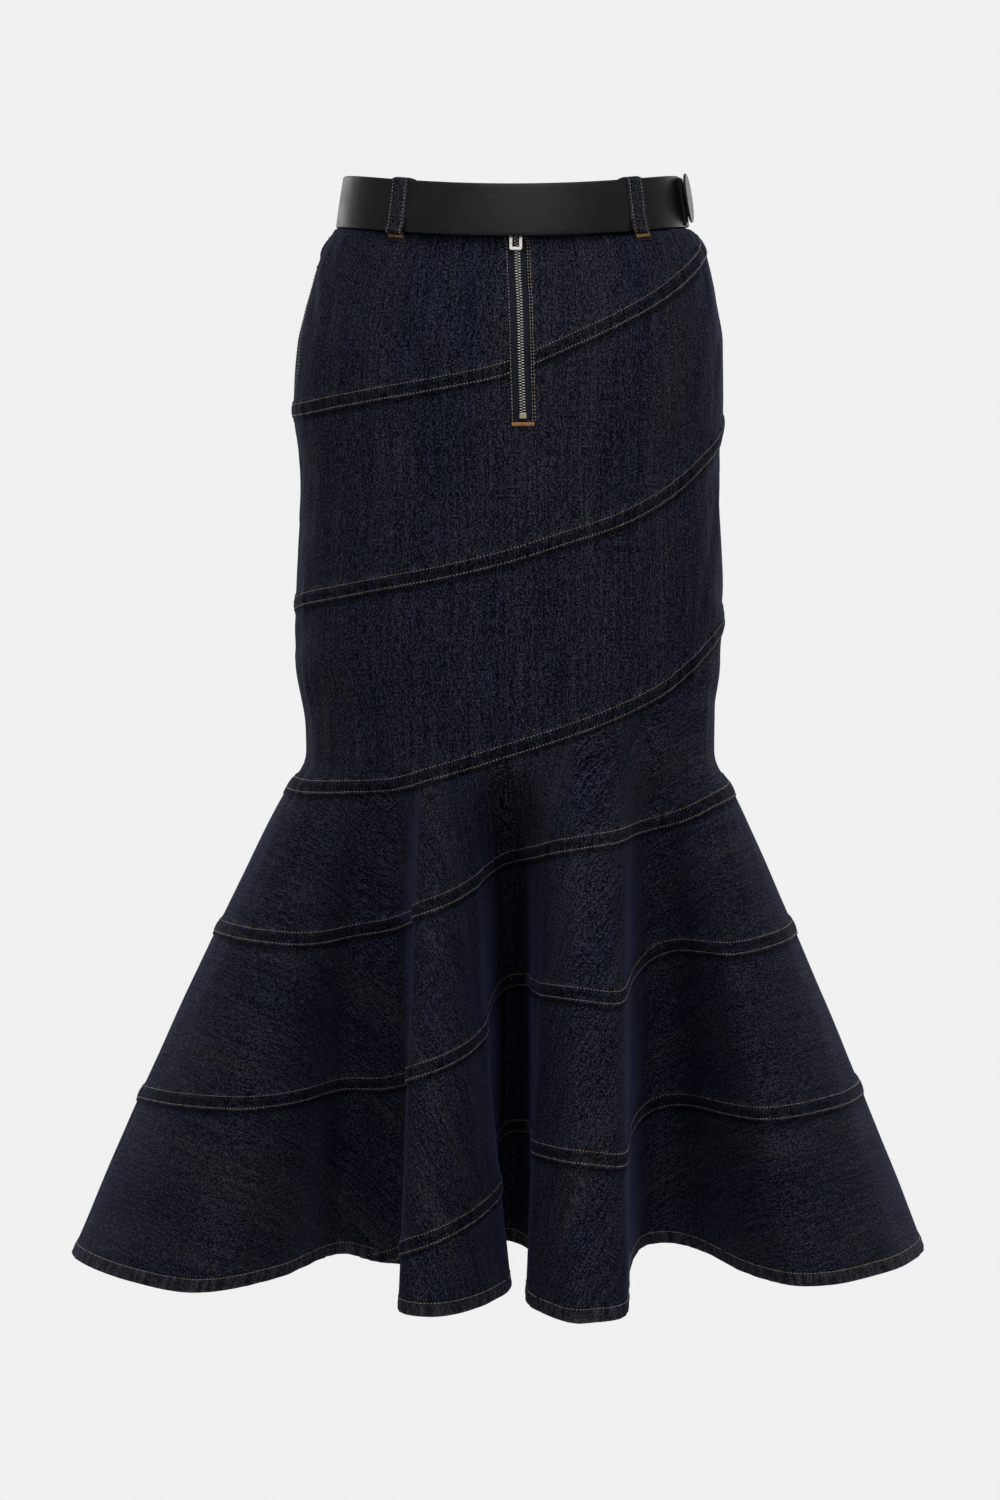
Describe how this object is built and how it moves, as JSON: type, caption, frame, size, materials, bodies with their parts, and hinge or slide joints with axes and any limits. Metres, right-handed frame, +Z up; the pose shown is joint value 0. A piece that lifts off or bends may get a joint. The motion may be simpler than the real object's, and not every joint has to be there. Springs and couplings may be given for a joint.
{
  "type": "denim skirt",
  "caption": "Long trumpet skirt in dark denim with spiral lapped seams, a flared folded hem, a front zip and a leather belt with a round buckle.",
  "frame": {"origin": "centre of the waistband, level with its middle at the side seams", "axes": "+Z up through the waist, -Y towards the front with the zip, +X to the right of the picture"},
  "size_m": [0.6737, 0.5134, 0.8424],
  "materials": {
    "denim": "dark indigo twill with tan stitching",
    "facing": "dark twill behind the pocket's mouth",
    "leather": "smooth black leather, soft sheen",
    "tape": "woven zip tape",
    "zip_metal": "bright nickel",
    "stop_metal": "pale brass"
  },
  "bodies": {
    "skirt": {"front_band_0_left": "denim", "front_band_0_right": "denim", "front_band_1_left": "denim", "front_band_1_right": "denim", "front_band_2": "denim", "front_band_3": "denim", "front_band_4": "denim", "front_band_5": "denim", "front_band_6": "denim", "back_band_0": "denim", "back_band_1": "denim", "back_band_2": "denim", "back_band_3": "denim", "back_band_4": "denim", "back_band_5": "denim", "back_band_6": "denim", "waistband_left": "denim", "waistband_right": "denim", "waistband_back": "denim", "belt_loop_1": "denim", "belt_loop_2": "denim", "belt_loop_3": "denim", "belt_loop_4": "denim", "belt_loop_5": "denim", "belt_strap": "leather", "belt_end": "leather", "buckle_stud": "leather", "buckle_disc": "leather", "pocket_facing": "facing", "zip_tape": "tape", "zip_chain": "zip_metal", "zip_slider": "zip_metal", "zip_slider_bridge": "zip_metal", "zip_stop": "stop_metal"},
    "pull_tab": {"zip_pull": "zip_metal"}
  },
  "joints": [
    {"name": "pull_tab_swing", "type": "hinge", "parent": "skirt", "child": "pull_tab", "pos_m": [0.00316, -0.0904, -0.0022], "axis": [-1, 0, 0], "range_deg": [0, 2.5]}
  ]
}
